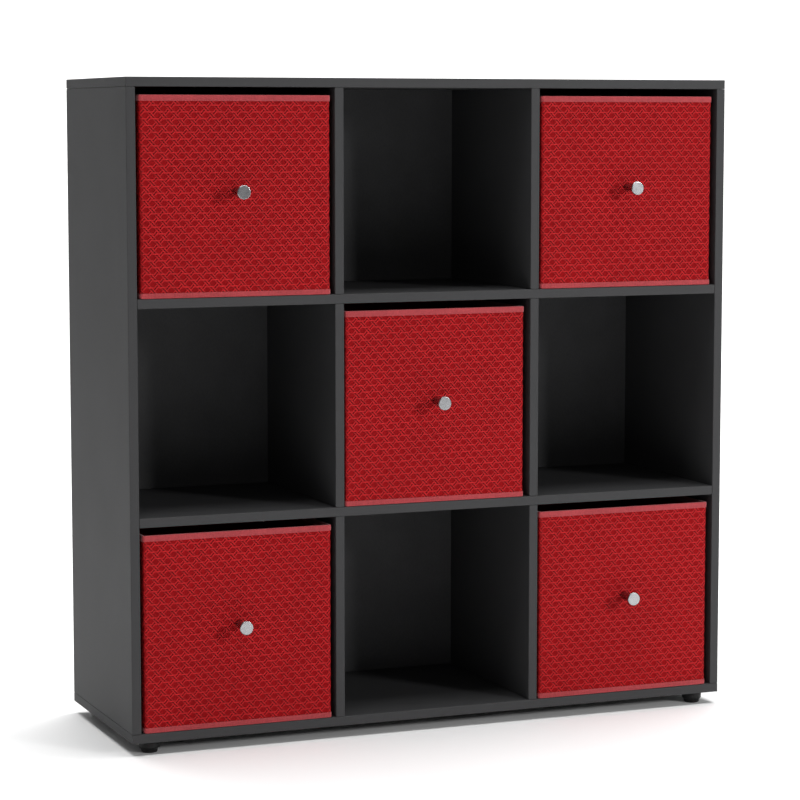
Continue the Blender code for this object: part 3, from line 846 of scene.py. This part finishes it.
# ---- knobs ----
# Solid aluminium turned in one piece: a neck that swells towards a flat round head with a
# bright chamfer. It is satin brushed, with fine rings on the face, and screwed on from inside.
KNOB_SIDES = 72
TURNING_MARKS = 9000.0  # fine rings to the metre, counted along the outline
SATIN_METAL = (0.34, 0.345, 0.355, 1)
knob_low, knob_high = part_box("box_centre_knob")
KNOB_OUTLINE = (
    # radius, distance in front of the box
    (0.0058, 0.0000),
    (0.0062, 0.0003),
    (0.0062, 0.0040),
    (0.0064, 0.0100),
    (0.0068, 0.0165),
    (0.0073, 0.0220),
    (0.0078, 0.0265),
    (0.0084, 0.0295),
    (0.0098, 0.0320),
    (0.0108, 0.0336),
    (0.0112, 0.0350),
    (0.01125, 0.0362),
    (0.01125, 0.0384),
    (0.0105, 0.0394),
    (0.0101, 0.0395),
    (0.0099, 0.0395),
    (0.0060, 0.0395),
    (0.0020, 0.0395),
    (0.0004, 0.0395),
)
knob = turn_on_lathe("knob_model", KNOB_OUTLINE, KNOB_SIDES, hollow=False)
profile_run = knob.data.attributes.new("profile_run", "FLOAT", "POINT")
for vertex in knob.data.vertices:
    profile_run.data[vertex.index].value = vertex.co.xy.length + vertex.co.z
knob.rotation_euler = (math.pi / 2, 0, 0)
knob.location = ((knob_low.x + knob_high.x) / 2, knob_high.y, (knob_low.z + knob_high.z) / 2)
settle(knob)

satin_aluminium, shader = new_finish("satin_aluminium")
run = layer(satin_aluminium, "Attribute", {}, attribute_name="profile_run").outputs["Fac"]
ring_count = reckon(satin_aluminium, "MULTIPLY", run, TURNING_MARKS)
ring_place = layer(satin_aluminium, "CombineXYZ", {"X": ring_count}).outputs["Vector"]
rings = cloud(satin_aluminium, ring_place, 1.0)
smear = cloud(satin_aluminium, place_on_piece(satin_aluminium), 0.006, 3.0)
faint_smear = reckon(satin_aluminium, "MULTIPLY", smear, 0.3)
dullness = reckon(satin_aluminium, "ADD", rings, faint_smear)
set_shader(
    satin_aluminium,
    shader,
    Base_Color=tint(satin_aluminium, SATIN_METAL, spread(satin_aluminium, smear, 0.92, 1.05)),
    Metallic=1.0,
    Roughness=spread(satin_aluminium, dullness, 0.20, 0.25, 0.4, 0.9),
)
raise_surface(satin_aluminium, shader, rings, depth=0.000004, strength=0.3)
put_in_boxes(knob, "turned_knob", satin_aluminium, "knob")

# ---- knob screws ----
# A pan-head machine screw with a captive washer holds each knob from inside the front wall.
# It is bright zinc plated, with a domed head and a pressed cross recess.
SCREW_SIDES = 48
RECESS_SPAN = 0.0046
RECESS_WIDTH = 0.0011
RECESS_DEPTH = 0.0013
screw_low, screw_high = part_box("box_centre_knob_screw")
screw_length = screw_high.y - screw_low.y
SCREW_OUTLINE = (
    # radius, distance from the top of the head
    (0.0004, 0.0),
    (0.0022, 0.0001),
    (0.0032, 0.0004),
    (0.0038, 0.0010),
    (0.0040, 0.0016),
    (0.0039, 0.0021),
    (0.0037, 0.0022),
    (0.0068, 0.0022),
    (0.0070, 0.0024),
    (0.0070, 0.0030),
    (0.0068, 0.0032),
    (0.0020, 0.0032),
    (0.0020, screw_length - 0.0008),
    (0.0013, screw_length),
)
knob_screw = turn_on_lathe("screw_model", SCREW_OUTLINE, SCREW_SIDES, hollow=False)
for turn in (0, math.pi / 2):
    bpy.ops.object.select_all(action="DESELECT")
    bpy.ops.mesh.primitive_cube_add(size=1, location=(0, 0, 0), rotation=(0, 0, turn))
    punch = bpy.context.object
    punch.scale = (RECESS_SPAN, RECESS_WIDTH, 2 * RECESS_DEPTH)
    recess = knob_screw.modifiers.new("recess", "BOOLEAN")
    recess.object = punch
    recess.operation = "DIFFERENCE"
    recess.solver = "EXACT"
    bpy.context.view_layer.objects.active = knob_screw
    bpy.ops.object.modifier_apply(modifier=recess.name)
    bpy.data.objects.remove(punch)
knob_screw.rotation_euler = (math.pi / 2, 0, 0)
knob_screw.location = (
    (screw_low.x + screw_high.x) / 2,
    screw_high.y,
    (screw_low.z + screw_high.z) / 2,
)
settle(knob_screw)
put_in_boxes(knob_screw, "pan_screw", zinc, "knob_screw")

# ---- floor, light and camera ----
# A pale studio sweep: floor and backdrop in one curved sheet of paper. A soft panel lights the
# unit from the front right, a broad one hangs overhead, and a third brightens the backdrop.
SWEEP_WIDTH = 16
SWEEP_DEPTH = 14
BACKDROP_HEIGHT = 6
SWEEP_CURVE = 2.5  # width of the curve from the floor to the backdrop
PAPER = (0.97, 0.97, 0.97, 1)
SKY_STRENGTH = 0.18
bpy.ops.object.select_all(action="DESELECT")
bpy.ops.mesh.primitive_plane_add(size=1, location=(0, 0, 0))
sweep = bpy.context.object
sweep.name = "sweep"
sweep.scale = (SWEEP_WIDTH, SWEEP_DEPTH, 1)
settle(sweep)
start_editing(sweep)
bpy.ops.mesh.select_mode(type="EDGE")
bpy.ops.object.mode_set(mode="OBJECT")
for edge in sweep.data.edges:
    edge.select = all(sweep.data.vertices[i].co.y > 0 for i in edge.vertices)
for polygon in sweep.data.polygons:
    polygon.select = False
bpy.ops.object.mode_set(mode="EDIT")
bpy.ops.mesh.extrude_region_move(TRANSFORM_OT_translate={"value": (0, 0, BACKDROP_HEIGHT)})
bpy.ops.object.mode_set(mode="OBJECT")
curve = sweep.modifiers.new("curve", "BEVEL")
curve.width = SWEEP_CURVE
curve.segments = 16
bpy.ops.object.modifier_apply(modifier=curve.name)
bpy.ops.object.shade_smooth()
pale, shader = new_finish("pale_paper")
paper = cloud(pale, place_on_piece(pale), 0.4, 2.0)
paper_white = tint(pale, PAPER, spread(pale, paper, 0.99, 1.01))
set_shader(pale, shader, Base_Color=paper_white, Roughness=0.9)
sweep.data.materials.append(pale)

sky = bpy.data.worlds.new("studio")
sky.use_nodes = True
sky_light = sky.node_tree.nodes["Background"].inputs
sky_light["Color"].default_value = (1, 1, 1, 1)
sky_light["Strength"].default_value = SKY_STRENGTH
bpy.context.scene.world = sky


def add_panel_light(name, place, aim, size, power):
    """A square soft light at a place, turned to face a point."""
    bpy.ops.object.light_add(type="AREA", location=place)
    lamp = bpy.context.object
    lamp.name = name
    lamp.data.shape = "SQUARE"
    lamp.data.size = size
    lamp.data.energy = power
    lamp.rotation_euler = (Vector(aim) - Vector(place)).to_track_quat("-Z", "Y").to_euler()


add_panel_light("key_light", (3.0, -4.6, 1.9), aim=(0, 0, 0.55), size=0.8, power=126)
add_panel_light("overhead_light", (0.6, 0.9, 4.5), aim=(0.6, 0.8, 0.0), size=5.0, power=430)
add_panel_light("backdrop_light", (3.6, 3.4, 3.2), aim=(3.4, 7.0, 1.6), size=2.5, power=130)

CAMERA_PLACE = (-1.6979, -4.1516, 1.0034)
CAMERA_TILT = 84.009  # degrees up from looking straight down
CAMERA_TURN = -22.185  # degrees from straight ahead, negative to the right
bpy.ops.object.camera_add(location=CAMERA_PLACE)
camera = bpy.context.object
camera.rotation_euler = (math.radians(CAMERA_TILT), 0, math.radians(CAMERA_TURN))
camera.data.lens = 120.13
camera.data.sensor_width = 36
bpy.context.scene.camera = camera
bpy.context.scene.view_settings.view_transform = "Standard"
